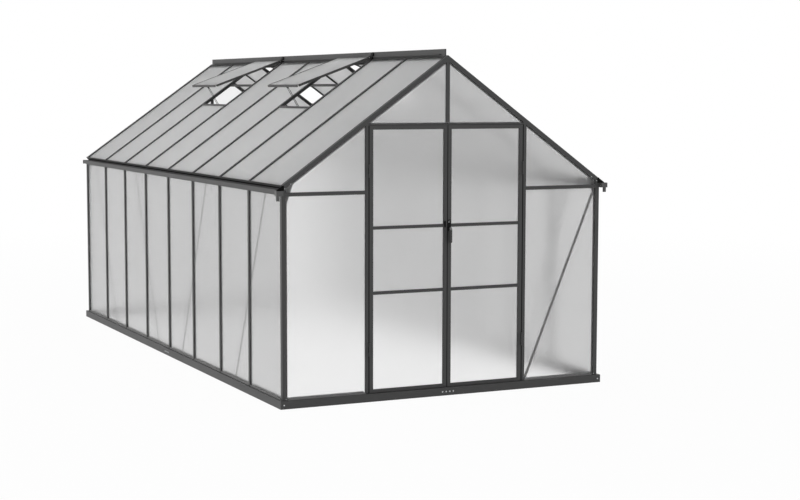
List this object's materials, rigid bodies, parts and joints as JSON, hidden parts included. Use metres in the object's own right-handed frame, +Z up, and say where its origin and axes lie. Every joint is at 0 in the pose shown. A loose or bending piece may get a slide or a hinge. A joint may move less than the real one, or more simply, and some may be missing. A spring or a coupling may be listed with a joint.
{
  "type": "aluminium greenhouse",
  "caption": "Free-standing greenhouse with a dark framed body, frosted translucent panels, hinged double door, tilting roof vents, gutters and a base frame.",
  "frame": {"origin": "on the ground, under the middle of the base frame's plan", "axes": "+X to the right seen from the front, +Y from the front gable to the rear gable, +Z up"},
  "size_m": [2.548, 4.983, 2.3929],
  "materials": {
    "frame_coat": "anthracite powder coat on extruded aluminium, satin",
    "panel_sheet": "frosted twin-wall polycarbonate, translucent",
    "plated_steel": "zinc plated steel",
    "black_plastic": "black moulded plastic with a fine grain",
    "grey_plastic": "grey moulded plastic, satin"
  },
  "bodies": {
    "frame": {"base_bolts": "plated_steel", "base_corner_brackets": "plated_steel", "base_ends": "frame_coat", "base_sides": "frame_coat", "base_splices": "plated_steel", "corner_posts": "frame_coat", "door_header": "frame_coat", "door_jambs": "frame_coat", "eave_noses": "frame_coat", "eave_rails": "frame_coat", "frame_nuts": "plated_steel", "front_panels": "panel_sheet", "gable_bar_front": "frame_coat", "gable_level_bars": "frame_coat", "gable_rafters": "frame_coat", "gusset_plates": "frame_coat", "gutter_end_caps": "grey_plastic", "gutter_outlets": "grey_plastic", "gutters": "frame_coat", "hinge_pins": "plated_steel", "jamb_hinges": "frame_coat", "rear_panels": "panel_sheet", "ridge_beam": "frame_coat", "ridge_cap": "frame_coat", "roof_bars_left": "frame_coat", "roof_bars_right": "frame_coat", "roof_panels_left": "panel_sheet", "roof_panels_right": "panel_sheet", "sill_rails": "frame_coat", "stay_pegs": "plated_steel", "studs_left": "frame_coat", "studs_rear": "frame_coat", "studs_right": "frame_coat", "vent_crossbars": "frame_coat", "vent_sills": "frame_coat", "vent_stops": "black_plastic", "wall_braces": "frame_coat", "wall_panels_left": "panel_sheet", "wall_panels_right": "panel_sheet"},
    "left_door": {"door_frame_left": "frame_coat", "door_panels_left": "panel_sheet", "door_hinges_left": "frame_coat", "door_pull": "black_plastic"},
    "right_door": {"door_frame_right": "frame_coat", "door_panels_right": "panel_sheet", "door_hinges_right": "frame_coat", "handle_plate": "black_plastic"},
    "door_lever": {"handle_lever": "black_plastic"},
    "vent_front_left": {"vent_front_left_frame": "frame_coat", "vent_front_left_panel": "panel_sheet"},
    "vent_front_left_stay": {"vent_front_left_stay": "frame_coat"},
    "vent_rear_left": {"vent_rear_left_frame": "frame_coat", "vent_rear_left_panel": "panel_sheet"},
    "vent_rear_left_stay": {"vent_rear_left_stay": "frame_coat"},
    "vent_front_right": {"vent_front_right_frame": "frame_coat", "vent_front_right_panel": "panel_sheet"},
    "vent_front_right_stay": {"vent_front_right_stay": "frame_coat"},
    "vent_rear_right": {"vent_rear_right_frame": "frame_coat", "vent_rear_right_panel": "panel_sheet"},
    "vent_rear_right_stay": {"vent_rear_right_stay": "frame_coat"}
  },
  "joints": [
    {"name": "left_door_swing", "type": "hinge", "parent": "frame", "child": "left_door", "pos_m": [-0.59225, -2.469, 0.962], "axis": [0, 0, -1], "range_deg": [0, 110]},
    {"name": "right_door_swing", "type": "hinge", "parent": "frame", "child": "right_door", "pos_m": [0.59225, -2.469, 0.962], "axis": [0, 0, 1], "range_deg": [0, 110]},
    {"name": "door_lever_turn", "type": "hinge", "parent": "right_door", "child": "door_lever", "pos_m": [0.0115, -2.462, 1.164], "axis": [0, -1, 0], "range_deg": [0, 90]},
    {"name": "vent_front_left_tilt", "type": "hinge", "parent": "frame", "child": "vent_front_left", "pos_m": [-0.0138, -0.915, 2.35677], "axis": [0, 1, 0], "range_deg": [-15.3, 14.7]},
    {"name": "vent_front_left_stay_turn", "type": "hinge", "parent": "vent_front_left", "child": "vent_front_left_stay", "pos_m": [-0.56781, -0.915, 2.13631], "axis": [0, 1, 0], "range_deg": [-7.5, 7.8]},
    {"name": "vent_rear_left_tilt", "type": "hinge", "parent": "frame", "child": "vent_rear_left", "pos_m": [-0.0138, 0.915, 2.35677], "axis": [0, 1, 0], "range_deg": [-15.3, 14.7]},
    {"name": "vent_rear_left_stay_turn", "type": "hinge", "parent": "vent_rear_left", "child": "vent_rear_left_stay", "pos_m": [-0.56781, 0.915, 2.13631], "axis": [0, 1, 0], "range_deg": [-7.5, 7.8]},
    {"name": "vent_front_right_tilt", "type": "hinge", "parent": "frame", "child": "vent_front_right", "pos_m": [0.0138, -0.915, 2.35677], "axis": [0, -1, 0], "range_deg": [-15.3, 14.7]},
    {"name": "vent_front_right_stay_turn", "type": "hinge", "parent": "vent_front_right", "child": "vent_front_right_stay", "pos_m": [0.56781, -0.915, 2.13631], "axis": [0, -1, 0], "range_deg": [-7.5, 7.8]},
    {"name": "vent_rear_right_tilt", "type": "hinge", "parent": "frame", "child": "vent_rear_right", "pos_m": [0.0138, 0.915, 2.35677], "axis": [0, -1, 0], "range_deg": [-15.3, 14.7]},
    {"name": "vent_rear_right_stay_turn", "type": "hinge", "parent": "vent_rear_right", "child": "vent_rear_right_stay", "pos_m": [0.56781, 0.915, 2.13631], "axis": [0, -1, 0], "range_deg": [-7.5, 7.8]}
  ],
  "couplings": [
    {"joint": "vent_front_left_stay_turn", "follows": "vent_front_left_tilt", "ratio": -0.505},
    {"joint": "vent_rear_left_stay_turn", "follows": "vent_rear_left_tilt", "ratio": -0.505},
    {"joint": "vent_front_right_stay_turn", "follows": "vent_front_right_tilt", "ratio": -0.505},
    {"joint": "vent_rear_right_stay_turn", "follows": "vent_rear_right_tilt", "ratio": -0.505}
  ]
}
